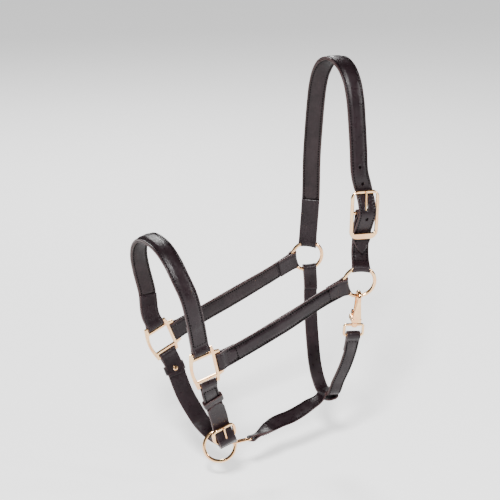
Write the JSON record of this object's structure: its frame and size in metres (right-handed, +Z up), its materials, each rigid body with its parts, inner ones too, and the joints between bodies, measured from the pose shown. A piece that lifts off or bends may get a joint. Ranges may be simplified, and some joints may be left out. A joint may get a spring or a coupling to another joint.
{
  "type": "horse headcollar",
  "caption": "Leather headcollar with padded noseband, cheek and crown straps, cast squares, round rings, a buckled crown, an adjustable chin and a snap at the throat.",
  "frame": {"origin": "on top of the crown strap where it lies over the horse's poll, on the centre plane", "axes": "+X towards the ears and the back of the head, -X to the nose, -Y to the near (left) side, +Z up, as it hangs from the poll"},
  "size_m": [0.3185, 0.1591, 0.5496],
  "materials": {
    "leather": "smooth dressed bridle leather, near-black brown, satin",
    "lining": "soft lining leather, near-black brown, matt with fine creases",
    "brass": "polished pale rose-gold brass",
    "steel": "plain spring steel"
  },
  "bodies": {
    "straps": {"crown_strap": "leather", "crown_lining": "lining", "crown_chape": "leather", "near_cheek_strap": "leather", "near_cheek_lining": "lining", "far_cheek_strap": "leather", "far_cheek_lining": "lining", "nose_strap": "leather", "nose_lining": "lining", "near_chin_strap": "leather", "chin_strap": "leather", "far_chin_keeper": "leather", "throat_strap": "leather", "jaw_strap": "leather", "near_square": "brass", "far_square": "brass", "snap_swivel_eye": "brass", "far_chin_stud": "brass"},
    "near_ring": {"near_cheek_ring": "brass"},
    "far_ring": {"far_cheek_ring": "brass"},
    "lead": {"lead_ring": "brass"},
    "link": {"jaw_link": "brass"},
    "crown_buckle": {"crown_buckle_frame": "brass"},
    "crown_tongue": {"crown_buckle_tongue": "brass"},
    "chin_buckle": {"chin_buckle_frame": "brass"},
    "chin_tongue": {"chin_buckle_tongue": "brass"},
    "near_keeper": {"near_chin_keeper": "leather"},
    "hook": {"snap_body": "brass", "snap_gate_pin": "brass", "snap_rivet": "brass", "snap_gate_spring": "steel"},
    "gate": {"snap_gate": "brass"}
  },
  "joints": [
    {"name": "near_ring_spin", "type": "hinge", "parent": "straps", "child": "near_ring", "pos_m": [0.002, -0.0674, -0.299], "axis": [0.3387, 0.9305, 0.1392], "continuous": true},
    {"name": "far_ring_spin", "type": "hinge", "parent": "straps", "child": "far_ring", "pos_m": [0.002, 0.0674, -0.299], "axis": [0.3387, 0.9305, 0.1392], "continuous": true},
    {"name": "lead_ring_spin", "type": "hinge", "parent": "straps", "child": "lead", "pos_m": [-0.179, 0, -0.52711], "axis": [0.3626, 0.9072, -0.2132], "continuous": true},
    {"name": "jaw_link_swing", "type": "hinge", "parent": "straps", "child": "link", "pos_m": [-0.13326, -0.00816, -0.52291], "axis": [0.0631, 0.942, -0.3297], "range_deg": [-4, 4]},
    {"name": "crown_buckle_tilt", "type": "hinge", "parent": "straps", "child": "crown_buckle", "pos_m": [0.00809, -0.0674, -0.202], "axis": [0.9831, -0.1807, -0.0295], "range_deg": [-1, 1]},
    {"name": "crown_tongue_lift", "type": "hinge", "parent": "crown_buckle", "child": "crown_tongue", "pos_m": [0.00809, -0.0674, -0.202], "axis": [0.9831, -0.1807, -0.0295], "range_deg": [0, 4]},
    {"name": "chin_buckle_tilt", "type": "hinge", "parent": "straps", "child": "chin_buckle", "pos_m": [-0.191, -0.0385, -0.5], "axis": [0.9497, -0.0551, 0.3083], "range_deg": [-1, 1]},
    {"name": "chin_tongue_lift", "type": "hinge", "parent": "chin_buckle", "child": "chin_tongue", "pos_m": [-0.191, -0.0385, -0.5], "axis": [0.9497, -0.0551, 0.3083], "range_deg": [0, 5]},
    {"name": "near_keeper_slide", "type": "slide", "parent": "straps", "child": "near_keeper", "axis": [-0.4586, -0.4579, 0.7616], "range_m": [0, 0.002]},
    {"name": "snap_swivel", "type": "hinge", "parent": "straps", "child": "hook", "pos_m": [0.00071, -0.05997, -0.3588], "axis": [0.0595, -0.1189, 0.9911], "range_deg": [-20, 20]},
    {"name": "gate_hinge", "type": "hinge", "parent": "hook", "child": "gate", "pos_m": [0.00375, -0.05473, -0.34725], "axis": [0.9383, -0.3321, -0.0962], "range_deg": [0, 22], "stiffness_Nm_per_rad": 0.02, "springref_deg": -11.46}
  ]
}
